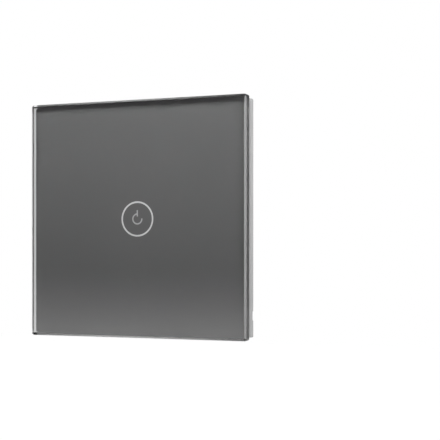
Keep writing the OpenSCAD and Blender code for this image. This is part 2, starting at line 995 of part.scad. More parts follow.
module terminal_cage(n) {
    inside = cage_w / 2 - cage_side;
    top_front = cage_y1 - cage_top;
    color("#d8d9da")
        translate([pole_x(n), 0, 0])
            difference() {
                block([-cage_w / 2, cage_y0, cage_z0], [cage_w / 2, cage_y1, cage_z1]);
                block([-inside, cage_y0 + cage_bottom, cage_z0 - cut], [inside, top_front, cage_z1 + cut]);
                rod([0, screw_z], top_front - fit_gap, cage_y1 + cut, terminal_screw_d + 2 * thread_gap);
            }
}

module terminal_screw(n) {
    head_front = block_rear + fit_gap;
    at = [pole_x(n), screw_z];
    color(brass) {
        difference() {
            rod(at, head_front, head_front + head_h, terminal_head_d);
            translate([at[0], head_front + head_h, at[1]])
                cube([terminal_head_d + cut, 2 * head_slot_h, head_slot_w], center = true);
        }
        rod(at, contact_y1 + fit_gap, head_front, terminal_screw_d);
    }
}

// Places a relay piece drawn from the middle of its foot, with x across and y up from the board
module on_relay() {
    translate([relay_at[0], power_rear, relay_at[1]])
        children();
}

// An outline in the relay's own x and y, thickened along z about its middle
module relay_slab(w) {
    translate([0, 0, -w / 2])
        linear_extrude(w)
            children();
}

module relay_base() {
    inset = relay_wall + hole_gap;
    half = [relay_w / 2 - inset, 0, relay_d / 2 - inset];
    color("#2b2c30")
        on_relay()
            block(-half, half + [0, relay_base_t, 0]);
}

module relay_case() {
    half = [relay_w / 2, 0, relay_d / 2];
    inner = half - [relay_wall, 0, relay_wall];
    color("#2a4f8f")
        on_relay()
            difference() {
                block(-half, half + [0, relay_h, 0]);
                block(-inner - [0, cut, 0], inner + [0, relay_h - relay_wall, 0]);
            }
}

module relay_bobbin() {
    foot = relay_base_t + yoke_t;
    top = pole_h - pole_t - hole_gap;
    half = bobbin_w / 2;
    color("#e9e6da")
        on_relay()
            difference() {
                union() {
                    block([-half, foot, -half], [half, foot + bobbin_flange, half]);
                    block([-half, top - bobbin_flange, -half], [half, top, half]);
                    rod([0, 0], foot, top, bobbin_tube_d);
                }
                rod([0, 0], foot - cut, top + cut, core_d + 2 * hole_gap);
            }
}

module relay_winding() {
    foot = relay_base_t + yoke_t + bobbin_flange;
    top = pole_h - pole_t - hole_gap - bobbin_flange;
    color("#b5642c")
        on_relay()
            difference() {
                rod([0, 0], foot, top, winding_d);
                rod([0, 0], foot - cut, top + cut, bobbin_tube_d + 2 * thread_gap);
            }
}

module relay_yoke() {
    plate_end = yoke_u + yoke_t;
    color("#9b9da0")
        on_relay() {
            relay_slab(yoke_w)
                polygon([
                    [-pole_d / 2, relay_base_t],
                    [plate_end, relay_base_t],
                    [plate_end, yoke_h],
                    [yoke_u, yoke_h],
                    [yoke_u, relay_base_t + yoke_t],
                    [-pole_d / 2, relay_base_t + yoke_t]
                ]);
            rod([0, 0], relay_base_t + yoke_t, pole_h, core_d);
            rod([0, 0], pole_h - pole_t, pole_h, pole_d);
        }
}

module relay_armature() {
    half = armature_w / 2;
    tail = yoke_u + yoke_t - fit_gap;
    color("#a7a9ac")
        on_relay()
            block([armature_end, armature_h, -half], [tail, armature_h + armature_t, half]);
}

module relay_leaf() {
    foot = armature_h + armature_t;
    color("#c98b4c")
        on_relay() {
            block([leaf_end, foot, -leaf_w / 2], [leaf_start, foot + leaf_t, leaf_w / 2]);
            rod([button_u, 0], foot - button_t, foot, button_d);
        }
}

module relay_hinge_spring() {
    back = yoke_u + yoke_t;
    top = armature_h + armature_t;
    color("#d3d0c6")
        on_relay()
            relay_slab(hinge_leaf_w)
                polygon([
                    [back, hinge_leaf_h0],
                    [back + leaf_t, hinge_leaf_h0],
                    [back + leaf_t, top + leaf_t],
                    [hinge_leaf_u, top + leaf_t],
                    [hinge_leaf_u, top],
                    [back, top]
                ]);
}

module relay_contact() {
    shelf = fixed_top - button_t;
    color("#c98b4c")
        on_relay() {
            relay_slab(leaf_w)
                polygon([
                    [leaf_end, relay_base_t],
                    [leaf_end + strip_t, relay_base_t],
                    [leaf_end + strip_t, shelf - strip_t],
                    [button_u + button_d / 2, shelf - strip_t],
                    [button_u + button_d / 2, shelf],
                    [leaf_end, shelf]
                ]);
            rod([button_u, 0], shelf, fixed_top, button_d);
        }
}

module lead_rods(places) {
    for (at = places)
        rod(at, power_front - pin_out, power_rear, pin_d);
}

module relay_pins() {
    color(brass)
        lead_rods(relay_leads);
}

module component_leads() {
    color("#c8cacc") {
        lead_rods(leads);
        for (s = [-1, 1])
            rod(varistor_at + [s * varistor_leads, 0], power_rear, power_rear + varistor_lift, pin_d);
    }
}

// A box standing on the power board
module on_board_box(at, size) {
    translate([at[0], power_rear + size[1] / 2, at[1]])
        cube(size, center = true);
}

module film_capacitor() {
    color("#c9b03a")
        on_board_box(film_at, film_size);
}

module capacitor_seal() {
    color("#2a2a2b")
        rod(storage_at, power_rear, power_rear + seal_t, storage_d - 2 * seal_in);
}

module storage_capacitor() {
    color("#cfd1d3")
        difference() {
            rod(storage_at, power_rear, power_rear + storage_l, storage_d);
            rod(storage_at, power_rear - cut, power_rear + seal_t, storage_d - 2 * seal_in + 2 * thread_gap);
        }
}

module varistor() {
    // The disc stands on edge, just touching its leads
    dip = varistor_d / 2 - sqrt(pow(varistor_d / 2, 2) - pow(varistor_leads, 2));
    foot = power_rear + varistor_lift - dip;
    color("#2d5a8a")
        intersection() {
            translate([varistor_at[0], foot + varistor_d / 2, varistor_at[1] - varistor_t / 2])
                cylinder(d = varistor_d, h = varistor_t);
            block(
                [varistor_at[0] - varistor_d, power_rear + varistor_lift, varistor_at[1] - varistor_t],
                [varistor_at[0] + varistor_d, power_rear + varistor_d, varistor_at[1] + varistor_t]
            );
        }
}

module fuse() {
    color("#6b4a34")
        rod(fuse_at, power_rear, power_rear + fuse_l, fuse_d);
}

module rectifier() {
    color("#222225")
        on_board_box(rectifier_at, rectifier_size);
}

module choke_core() {
    color("#35363a")
        turned_at(choke_at, [
            [0, 0],
            [choke_d / 2, 0],
            [choke_d / 2, choke_flange],
            [choke_core_d / 2, choke_flange],
            [choke_core_d / 2, choke_l - choke_flange],
            [choke_d / 2, choke_l - choke_flange],
            [choke_d / 2, choke_l],
            [0, choke_l]
        ]);
}

module choke_winding() {
    outer = choke_d / 2 - loose_gap;
    inner = choke_core_d / 2 + thread_gap;
    color("#b5642c")
        turned_at(choke_at, [
            [inner, choke_flange],
            [outer, choke_flange],
            [outer, choke_l - choke_flange],
            [inner, choke_l - choke_flange]
        ]);
}

// A turned shape standing on the power board
module turned_at(at, profile) {
    translate([at[0], power_rear, at[1]])
        turned(profile);
}

module driver_transistor() {
    reach = transistor_d / 2;
    color("#222225")
        intersection() {
            rod(transistor_at, power_rear, power_rear + transistor_l, transistor_d);
            block(
                [transistor_at[0] - transistor_flat, power_rear, transistor_at[1] - reach],
                [transistor_at[0] + reach, power_rear + transistor_l, transistor_at[1] + reach]
            );
        }
}

glass_panel();
glass_print();
touch_ring();
power_mark();
bond_tape();
panel_carrier();
mounting_plate();
catch_springs();
catch_rivets();
plate_screws();
body_shell();
terminal_cover();
module_cover();
module_screws();
light_guide();
touch_spring();
touch_board();
touch_chip();
indicator_leds();
sensor_passives();
board_header();
header_pins();
power_board();
terminal_block();
terminal_contacts();
terminal_cage(1);  // terminal_cage_1
terminal_cage(2);  // terminal_cage_2
terminal_cage(3);  // terminal_cage_3
terminal_screw(1);  // terminal_screw_1
terminal_screw(2);  // terminal_screw_2
terminal_screw(3);  // terminal_screw_3
relay_base();
relay_case();
relay_bobbin();
relay_winding();
relay_yoke();
relay_armature();
relay_leaf();
relay_hinge_spring();
relay_contact();
relay_pins();
film_capacitor();
storage_capacitor();
capacitor_seal();
varistor();
fuse();
rectifier();
choke_core();
choke_winding();
driver_transistor();
component_leads();
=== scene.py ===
# %% [markdown]
# # A glass touch switch
# The switch is a square of clear glass with grey ink behind it, on a grey moulded frame, and a round black
# housing that goes into the wall. Its measured model is loaded first and never moved: each piece made here
# takes its place and its sizes from that model, so the looks fit the mechanics with no adjusting.

# %% Load the measured model
import json
import math
from functools import partial

import bmesh
import bpy
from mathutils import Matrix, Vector


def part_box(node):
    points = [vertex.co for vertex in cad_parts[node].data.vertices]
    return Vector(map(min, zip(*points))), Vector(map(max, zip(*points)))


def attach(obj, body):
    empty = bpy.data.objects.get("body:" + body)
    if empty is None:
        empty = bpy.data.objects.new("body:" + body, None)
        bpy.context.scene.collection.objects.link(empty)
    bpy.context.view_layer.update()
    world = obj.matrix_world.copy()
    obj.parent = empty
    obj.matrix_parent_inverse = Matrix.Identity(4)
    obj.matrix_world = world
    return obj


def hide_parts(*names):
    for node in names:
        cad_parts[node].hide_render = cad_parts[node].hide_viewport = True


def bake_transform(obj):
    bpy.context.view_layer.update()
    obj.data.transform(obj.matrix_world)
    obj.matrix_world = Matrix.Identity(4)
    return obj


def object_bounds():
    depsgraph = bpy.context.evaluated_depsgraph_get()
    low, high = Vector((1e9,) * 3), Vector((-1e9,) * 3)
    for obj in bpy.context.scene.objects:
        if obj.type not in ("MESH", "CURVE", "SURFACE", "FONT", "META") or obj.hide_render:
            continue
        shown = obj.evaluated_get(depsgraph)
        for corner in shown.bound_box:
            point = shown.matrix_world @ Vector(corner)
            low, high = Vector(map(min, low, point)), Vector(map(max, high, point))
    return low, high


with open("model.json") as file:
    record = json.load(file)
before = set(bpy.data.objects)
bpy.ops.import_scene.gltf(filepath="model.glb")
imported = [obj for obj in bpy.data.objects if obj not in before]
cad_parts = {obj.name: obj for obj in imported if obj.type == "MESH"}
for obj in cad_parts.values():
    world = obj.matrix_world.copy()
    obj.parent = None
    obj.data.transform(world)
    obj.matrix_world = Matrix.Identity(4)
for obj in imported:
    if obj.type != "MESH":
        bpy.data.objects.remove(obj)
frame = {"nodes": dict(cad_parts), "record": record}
cad_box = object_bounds()
MM = 0.001
slot_of = {row["node"]: row["material_slot"] for row in frame["record"]["subparts"]}
body_of = {node: body for body, nodes in frame["record"]["behaviour"]["bodies"].items() for node in nodes}
print("measured box in mm:", [[round(x / MM, 2) for x in corner] for corner in cad_box])

# %% [markdown]
# Finishes are sums of patterns, and sums are easier to read as Python than as wires. This class holds one
# shader socket. Adding, subtracting or multiplying it adds a Math node, and its method `node` makes any
# other kind.


# %% A socket to reckon with
class Field:
    """A shader socket; sums, differences and products of it add Math nodes to its tree."""

    def __init__(self, tree, socket=None):
        self.tree = tree
        self.socket = socket

    def node(self, kind, settings=None, sockets=None, out=0):
        """Adds a node of that kind: first its settings, then its sockets' values or links."""
        made = self.tree.nodes.new("ShaderNode" + kind)
        for name, value in (settings or {}).items():
            setattr(made, name, value)
        for key, value in (sockets or {}).items():
            if isinstance(value, Field):
                self.tree.links.new(value.socket, made.inputs[key])
            else:
                made.inputs[key].default_value = value
        return Field(self.tree, made.outputs[out] if made.outputs else None)

    def math(self, operation, first, second=0.0):
        return self.node("Math", {"operation": operation}, {0: first, 1: second})

    def __add__(self, other):
        return self.math("ADD", self, other)

    __radd__ = __add__

    def __sub__(self, other):
        return self.math("SUBTRACT", self, other)

    def __rsub__(self, other):
        return self.math("SUBTRACT", other, self)

    def __mul__(self, other):
        return self.math("MULTIPLY", self, other)

    __rmul__ = __mul__

    def __abs__(self):
        return self.math("ABSOLUTE", self)


print("fields add, subtract and multiply")

# %% [markdown]
# A few small patterns serve every finish. Positions are in millimetres of the switch's own frame, so a grain
# of eight to the millimetre is that fine on every piece, whatever its size. Pictures wrapped round the
# pieces could do the same, but patterns worked out at each point need no wrapping and show no seams.

# %% Patterns
CLOUD_MIDDLE = 0.5


def spot_mm(root):
    """The point on the surface, in millimetres."""
    spot = root.node("TexCoord", out="Object")
    return root.node("VectorMath", {"operation": "SCALE"}, {0: spot, "Scale": 1 / MM})


def noise(root, spot, per_mm, detail, stretch=(1, 1, 1)):
    """Clouds from 0 to 1, so many to the millimetre, drawn out along an axis by stretch."""
    drawn = root.node("VectorMath", {"operation": "DIVIDE"}, {0: spot, 1: stretch})
    return root.node("TexNoise", {}, {"Vector": drawn, "Scale": per_mm, "Detail": detail})


def sway(cloud, amount):
    """Half that amount less or more, as the clouds go from 0 to 1."""
    return amount * (cloud - CLOUD_MIDDLE)


def fade(root, value, low, high):
    """A soft step from 0 at low to 1 at high."""
    settings = {"interpolation_type": "SMOOTHSTEP"}
    return root.node("MapRange", settings, {"Value": value, "From Min": low, "From Max": high})


def blend(root, mask, first, second):
    """One colour where the mask is 0 and another where it is 1."""
    return root.node("Mix", {"data_type": "RGBA"}, {0: mask, 6: first, 7: second}, out=2)


def shade(root, mask, colour, amount):
    """A colour that the mask darkens and lightens by that share."""
    dark = (*[c * (1 - amount) for c in colour], 1)
    light = (*[c * (1 + amount) for c in colour], 1)
    return blend(root, mask, dark, light)


def relief(root, height, depth_mm, above=None):
    """A bump of that depth, laid over another bump if one is given."""
    sockets = {"Height": height, "Distance": depth_mm * MM}
    if above:
        sockets["Normal"] = above
    return root.node("Bump", {}, sockets)


def ray(root, kind):
    """1 for rays of that kind and 0 for all others."""
    return root.node("LightPath", out=f"Is {kind} Ray")


def finish(name, shader_of):
    """A material whose shader comes from a function of the tree's first field."""
    material = bpy.data.materials.new(name)
    material.use_nodes = True
    material.node_tree.nodes.clear()
    root = Field(material.node_tree)
    root.node("OutputMaterial", {}, {"Surface": shader_of(root)})
    return material


print("patterns: clouds, soft steps, blends and bumps")

# %% [markdown]
# ## Camera
# The photograph was taken from the switch's right, level, with a long lens. The horizon lies a little below
# the middle of the picture, so the lens is shifted up instead of tilting the camera: upright edges stay so.

# %% Camera
PICTURE = 440
HORIZON_ROW = 252.6
LENS = 92.3
SENSOR = 36
NEAREST = 0.01
CAMERA_YAW = 21.9
CAMERA_SPOT = Vector((180.3, -375.0, -12.2)) * MM

camera_data = bpy.data.cameras.new("camera")
camera_data.lens = LENS
camera_data.sensor_width = SENSOR
camera_data.shift_y = (HORIZON_ROW - PICTURE / 2) / PICTURE
camera_data.clip_start = NEAREST
camera = bpy.data.objects.new("camera", camera_data)
camera.location = CAMERA_SPOT
camera.rotation_euler = (math.radians(90), 0, math.radians(CAMERA_YAW))
bpy.context.scene.collection.objects.link(camera)
bpy.context.scene.camera = camera
print("camera at", [round(x, 3) for x in CAMERA_SPOT], "shift", round(camera_data.shift_y, 4))

# %% [markdown]
# ## Studio
# Glass shows the room more than itself, so the room matters: a pale backdrop that is dimmer on the left and
# dark on the right, a dark ceiling, and in front a dim eye level between a window above and a bright table
# below. That gives the glass its darker middle. Painted walls would do it too, but here the world's colour
# depends on the direction alone. The pairs of values below are where its soft steps start and end. Only
# mirrors and lenses see this room; the camera sees plain white.

# %% World
bpy.context.scene.view_settings.view_transform = "Standard"
WHITE = (1, 1, 1, 1)
BACKDROP = 0.54
BACK_LEFT = 0.35
BACK_RIGHT = 0.05
BACK_CEILING = (0.12, 0.45)
CEILING = 0.03
EYE_LEVEL = 0.04
WINDOW = 0.12
WINDOW_RISE = (0.02, 0.26)
TABLE = 2.6
TABLE_FALL = (0.01, 0.10)
LEFT_FRONT = 0.3
FRONT_CEILING = (0.45, 0.7)
FRONT_TURN = (0.0, 0.5)
RIGHT_TURN = (0.0, 0.35)
LEFT_TURN = (0.6, 0.9)
SOFT_FRONT = 0.08
SOFT_BACK = 0.6


def studio(root):
    """White for the camera, the room for mirrors and lenses, and soft light for matt surfaces."""
    way = root.node("TexCoord", out="Generated")
    across, away, up = (root.node("SeparateXYZ", {}, {"Vector": way}, out=axis) for axis in "XYZ")
    front = fade(root, -1.0 * away, *FRONT_TURN)
    right = fade(root, across, *RIGHT_TURN)
    left = fade(root, -1.0 * across, *LEFT_TURN)
    ahead = EYE_LEVEL + WINDOW * fade(root, up, *WINDOW_RISE) + LEFT_FRONT * left
    ahead = ahead + TABLE * fade(root, -1.0 * up, *TABLE_FALL)
    ahead = ahead * (1 - fade(root, up, *FRONT_CEILING))
    behind = BACKDROP + (BACK_LEFT - BACKDROP) * left + (BACK_RIGHT - BACKDROP) * right
    behind = behind * (1 - fade(root, up, *BACK_CEILING)) + CEILING
    room = front * ahead + (1 - front) * behind
    soft = SOFT_FRONT * front + SOFT_BACK * (1 - front)
    mirrored = ray(root, "Glossy") + ray(root, "Transmission")
    lit = mirrored * room + (1 - mirrored) * soft
    camera_ray = ray(root, "Camera")
    strength = camera_ray + (1 - camera_ray) * lit
    return root.node("Background", {}, {"Strength": strength, "Color": WHITE})


world = bpy.data.worlds.new("studio")
world.use_nodes = True
world.node_tree.nodes.clear()
sky = Field(world.node_tree)
sky.node("OutputWorld", {}, {"Surface": studio(sky)})
bpy.context.scene.world = world
print("world: backdrop", BACKDROP, "ceiling", CEILING, "eye level", EYE_LEVEL)

# %% [markdown]
# The main lamp is a long strip close in front of the glass, above its top edge. The glass's edges stop its
# light, so the ink just under the top edge stays dark, as in the photograph. The other lamps stand behind the
# glass's plane and light the frame and the housing. The cards are only for mirrors: those on the right, above
# and below draw the light lines on the front chamfer, the high one draws the sheen along the top of the
# housing, and the one behind draws the light rim on its left. One big lamp could do all of this, but its own
# image would lie in the glass.

# %% Lamps
MIDDLE = (cad_box[0] + cad_box[1]) / 2
LAMPS = {
    "strip_above": ((0.02, -0.104, 0.083), (0.30, 0.04), 9.4),
    "lamp_right": ((0.75, 0.10, 0.05), (0.5, 0.5), 3.2),
    "lamp_left": ((-0.74, 0.25, 0.05), (0.45, 0.7), 2.1),
    "lamp_top": ((0.10, 0.55, 0.85), (0.6, 0.2), 1.5),
}
CARDS = {
    "card_high": ((-0.63, 0.10, 0.61), (0.5, 0.5), 1.5),
    "card_behind": ((-0.75, 0.50, 0.04), (0.35, 0.8), 1.5),
    "card_right": ((0.74, -0.30, 0.10), (0.35, 0.6), 7.5),
    "card_below": ((-0.08, -0.035, -0.25), (0.32, 0.07), 3.5),
    "card_above": ((-0.08, -0.035, 0.27), (0.33, 0.07), 3.6),
}


def softbox(name, spot, size, brightness, mirrored):
    """A lamp that faces the switch, of that brightness, seen by mirrors alone or by matt surfaces alone."""
    data = bpy.data.lights.new(name, "AREA")
    data.shape = "RECTANGLE"
    data.size, data.size_y = size
    data.energy = brightness * math.pi * size[0] * size[1]
    lamp = bpy.data.objects.new(name, data)
    lamp.location = spot
    lamp.rotation_euler = (MIDDLE - Vector(spot)).to_track_quat("-Z", "Y").to_euler()
    lamp.visible_camera = False
    lamp.visible_diffuse = not mirrored
    lamp.visible_glossy = mirrored
    lamp.visible_transmission = False
    bpy.context.scene.collection.objects.link(lamp)
    print(name, "gives", round(data.energy, 2), "W")


for name, row in LAMPS.items():
    softbox(name, *row, mirrored=False)
for name, row in CARDS.items():
    softbox(name, *row, mirrored=True)

# %% [markdown]
# The floor is pale and matt and takes the switch's shadow. The camera and lenses see it lifted to white, so
# it meets the backdrop with no line. A curved sheet of paper is the studio's way to hide that line, but a
# lift needs no extra shape. Mirrors see half of the lift near the switch, which keeps black plastic black,
# and more of it far in front, where the floor meets the bright table of the studio.

# %% Floor
FLOOR_DROP = 0.30
FLOOR_SIZE = 6.0
FLOOR_GREY = (0.72, 0.72, 0.72)
WHITE_LIFT = 0.7
NEAR_LIFT = 0.5
FAR_LIFT = 3.2
FAR_FLOOR = (1000, 3000)


def floor_paint(root):
    """Matt paint with a lift for the rays that look at it."""
    spot = spot_mm(root)
    cloud = noise(root, spot, per_mm=0.004, detail=3.0)
    matt = root.node("BsdfDiffuse", {}, {"Color": shade(root, cloud, FLOOR_GREY, amount=0.02)})
    ahead = -1.0 * root.node("SeparateXYZ", {}, {"Vector": spot}, out="Y")
    mirrored = NEAR_LIFT + (FAR_LIFT - NEAR_LIFT) * fade(root, ahead, *FAR_FLOOR)
    seen = ray(root, "Camera") + ray(root, "Transmission") + mirrored * ray(root, "Glossy")
    lift = root.node("Emission", {}, {"Strength": WHITE_LIFT * seen})
    return root.node("AddShader", {}, {0: matt, 1: lift})


floor_mesh = bpy.data.meshes.new("floor")
half = FLOOR_SIZE / 2
corners = [(-half, -half), (half, -half), (half, half), (-half, half)]
floor_mesh.from_pydata([(x, y, -FLOOR_DROP) for x, y in corners], [], [(0, 1, 2, 3)])
floor_mesh.materials.append(finish("floor_paint", floor_paint))
floor = bpy.data.objects.new("floor", floor_mesh)
bpy.context.scene.collection.objects.link(floor)
print("floor", FLOOR_DROP, "m below the switch's middle")

# %% [markdown]
# ## Finishes
# Plastics share a recipe: a faintly cloudy colour, a fine moulded grain and spots that hands have rubbed
# smoother, with a ring where each pin pushed a moulding out of its mould. Metals share another: streaks along
# the way the sheet was rolled, and dull stains. What sets one plastic or metal apart is its colour, its gloss
# and how coarse and deep that grain is.

# %% Plastics and metals
PIN_RING = 2.0
PIN_LINE = (0.16, 0.04)
PIN_DEPTH = 0.04
RUBBED = (0.56, 0.72)
RUB_SHINE = 0.06
STAINED = (0.42, 0.66)
STAIN_DULL = 0.25
STREAK_DEPTH = 0.002


def pin_marks(root, spot, places):
    """The ring that each ejector pin of the mould leaves round a place."""
    rings = 0.0
    for place in places:
        away = root.node("VectorMath", {"operation": "DISTANCE"}, {0: spot, 1: place}, out="Value")
        rings = rings + fade(root, abs(away - PIN_RING), *PIN_LINE)
    return rings


def moulded(root, colour, gloss, depth, per_mm, cloudy=0.06, shine=0.5, pins=()):
    """Moulded plastic, with its colour, its roughness and the depth and fineness of its grain."""
    spot = spot_mm(root)
    cloud = noise(root, spot, per_mm=0.11, detail=4.0)
    pits = noise(root, spot, per_mm, detail=3.0)
    rubbed = fade(root, noise(root, spot, per_mm=0.4, detail=5.0), *RUBBED)
    normal = relief(root, pits, depth)
    if pins:
        normal = relief(root, pin_marks(root, spot, pins), -PIN_DEPTH, normal)
    return root.node("BsdfPrincipled", {}, {
        "Base Color": shade(root, cloud, colour, cloudy),
        "Roughness": gloss + sway(cloud, amount=0.12) + sway(pits, amount=0.08) - RUB_SHINE * rubbed,
        "Specular IOR Level": shine,
        "Normal": normal,
    })


def rolled(root, colour, dull, stretch, stained=0.1, stain=None):
    """Sheet or turned metal, streaked along one axis, with stains of a second colour."""
    spot = spot_mm(root)
    streak = noise(root, spot, per_mm=7.0, detail=3.0, stretch=stretch)
    cloud = noise(root, spot, per_mm=0.3, detail=4.0)
    base = shade(root, streak, colour, amount=0.10)
    spots = fade(root, cloud, *STAINED) * stained
    return root.node("BsdfPrincipled", {}, {
        "Base Color": blend(root, spots, base, (*(stain or colour), 1)),
        "Metallic": 1.0,
        "Roughness": dull + sway(streak, amount=0.22) + STAIN_DULL * spots,
        "Normal": relief(root, streak, STREAK_DEPTH),
    })


print("two recipes, for plastics and for metals")

# %% [markdown]
# The glass bends light for the camera, for mirrors and for other glass. Light that only shines on the ink
# goes straight through, which keeps the ink evenly lit and the picture free of speckles. The edges are the
# same glass as a wheel leaves it, satin or polished. They let no lamp through, so they shade the ink beside
# them.

# %% Glass
GLASS_BENDS = 1.52
PLASTIC_BENDS = 1.49
PLASTIC_TINT = (0.93, 0.96, 0.97, 1)
WIPED = (0.5, 0.75)


def lamps_through(root, glass):
    """The glass for what is seen through it, and nothing for the light that falls through it."""
    passes = ray(root, "Shadow") + ray(root, "Diffuse")
    open_air = root.node("BsdfTransparent", {}, {"Color": WHITE})
    return root.node("MixShader", {}, {0: passes, 1: glass, 2: open_air})


def clear_glass(root):
    """Sheet glass with a slow ripple, a little duller where a hand has wiped it."""
    spot = spot_mm(root)
    wiped = fade(root, noise(root, spot, per_mm=0.06, detail=5.0, stretch=(3, 1, 1)), *WIPED)
    ripple = noise(root, spot, per_mm=0.03, detail=1.0)
    return lamps_through(root, root.node("BsdfPrincipled", {}, {
        "Base Color": WHITE,
        "Roughness": 0.004 + 0.02 * wiped,
        "IOR": GLASS_BENDS,
        "Transmission Weight": 1.0,
        "Normal": relief(root, ripple, depth_mm=0.004),
    }))


def edge_glass(root, dull):
    """Ground glass, as dull as the wheel left it and streaked along the edge."""
    spot = spot_mm(root)
    wheel = noise(root, spot, per_mm=4.0, detail=3.0, stretch=(12, 1, 12))
    return root.node("BsdfPrincipled", {}, {
        "Base Color": WHITE,
        "Roughness": dull + sway(wheel, amount=0.1) * dull,
        "IOR": GLASS_BENDS,
        "Transmission Weight": 1.0,
    })


def clear_plastic(root):
    """A clear moulding with the lines of its flow."""
    spot = spot_mm(root)
    flow = noise(root, spot, per_mm=0.5, detail=3.0, stretch=(1, 4, 1))
    return lamps_through(root, root.node("BsdfPrincipled", {}, {
        "Base Color": PLASTIC_TINT,
        "Roughness": 0.06 + 0.12 * flow,
        "IOR": PLASTIC_BENDS,
        "Transmission Weight": 1.0,
        "Normal": relief(root, flow, depth_mm=0.01),
    }))


print("clear glass, satin and polished edges, and clear plastic")

# %% [markdown]
# Ink behind glass has no gloss of its own: the glass lies tight on it. It is a screen print, so it shows the
# faint mesh of the screen and is a little uneven. One flat colour would be simpler, but would look drawn. The
# foam tape is black with open cells.

# %% Inks and tape
NO_GLOSS = 0.0
INK_DULL = 0.9
CLOUD_SHARE, MESH_SHARE = 0.6, 0.4
TAPE_BLACK = (0.014, 0.014, 0.015)
CELLS_PER_MM = 6.0


def screen_ink(root, colour):
    """Printed ink, a little uneven and marked by the mesh of its screen."""
    spot = spot_mm(root)
    cloud = noise(root, spot, per_mm=0.05, detail=3.0)
    mesh = noise(root, spot, per_mm=11.0, detail=1.0)
    return root.node("BsdfPrincipled", {}, {
        "Base Color": shade(root, CLOUD_SHARE * cloud + MESH_SHARE * mesh, colour, amount=0.05),
        "Roughness": INK_DULL,
        "Specular IOR Level": NO_GLOSS,
    })


def foam_tape(root):
    """Black foam with open cells."""
    spot = spot_mm(root)
    cells = root.node("TexVoronoi", {}, {"Vector": spot, "Scale": CELLS_PER_MM}, out="Distance")
    return root.node("BsdfPrincipled", {}, {
        "Base Color": shade(root, cells, TAPE_BLACK, amount=0.4),
        "Roughness": 0.75 + 0.2 * cells,
        "Normal": relief(root, cells, depth_mm=0.02),
    })


print("screen ink and foam tape")

# %% [markdown]
# A circuit board is glass cloth under green lacquer. Where copper runs below the lacquer it looks lighter,
# and it stands up a little. Drawn tracks would need a layout, so patches with narrow gaps stand for them.
# Enamelled wire and the lamps' yellow phosphor have finishes of their own. The other electronic parts are
# plain mouldings and metals.

# %% Electronics
PATCHES_PER_MM = 0.32
COPPER_EDGE = (0.10, 0.13)
COPPER_HEIGHT = 0.03
LACQUER = (0.012, 0.085, 0.035, 1)
LACQUER_ON_COPPER = (0.025, 0.16, 0.065, 1)
CLOTH_GREEN = (0.01, 0.05, 0.02, 1)
CLOTH_SHOWS = 0.25
WEAVE = ((1, 1, 6), (6, 1, 1))
ENAMEL = ((0.42, 0.11, 0.03, 1), (0.62, 0.22, 0.07, 1))
PHOSPHOR = ((0.80, 0.70, 0.34, 1), (0.88, 0.86, 0.74, 1))


def solder_mask(root):
    """Green lacquer over glass cloth, lighter and raised where copper lies below."""
    spot = spot_mm(root)
    patches = {"Vector": spot, "Scale": PATCHES_PER_MM}
    edge = root.node("TexVoronoi", {"feature": "DISTANCE_TO_EDGE"}, patches)
    copper = fade(root, edge, *COPPER_EDGE)
    warp, weft = (noise(root, spot, per_mm=5.0, detail=1.0, stretch=way) for way in WEAVE)
    cloth = warp + weft
    green = blend(root, copper, LACQUER, LACQUER_ON_COPPER)
    return root.node("BsdfPrincipled", {}, {
        "Base Color": blend(root, CLOTH_SHOWS * cloth, green, CLOTH_GREEN),
        "Roughness": 0.32 + 0.1 * cloth,
        "Normal": relief(root, copper, COPPER_HEIGHT, above=relief(root, cloth, depth_mm=0.006)),
    })


def enamelled_wire(root):
    """Copper drawn to wire, under clear enamel."""
    spot = spot_mm(root)
    drawn = noise(root, spot, per_mm=3.0, detail=3.0)
    return root.node("BsdfPrincipled", {}, {
        "Base Color": blend(root, drawn, *ENAMEL),
        "Metallic": 0.85,
        "Roughness": 0.22 + 0.16 * drawn,
        "Coat Weight": 0.6,
        "Normal": relief(root, drawn, depth_mm=0.003),
    })


def lamp_lens(root):
    """A small lamp's lens, filled with phosphor."""
    spot = spot_mm(root)
    phosphor = noise(root, spot, per_mm=2.5, detail=3.0)
    return root.node("BsdfPrincipled", {}, {
        "Base Color": blend(root, phosphor, *PHOSPHOR),
        "Roughness": 0.2 + 0.2 * phosphor,
        "Normal": relief(root, phosphor, depth_mm=0.01),
    })


print("solder mask, enamelled wire and lamp lenses")

# %% [markdown]
# Most finishes differ only in their numbers, so they are kept in tables, with a row for each slot of the
# measured model and one more for the mark's ink. The housing's rear face has five pin marks. Recipes could be
# written out slot by slot, but in a table two blacks or two steels are easy to compare.

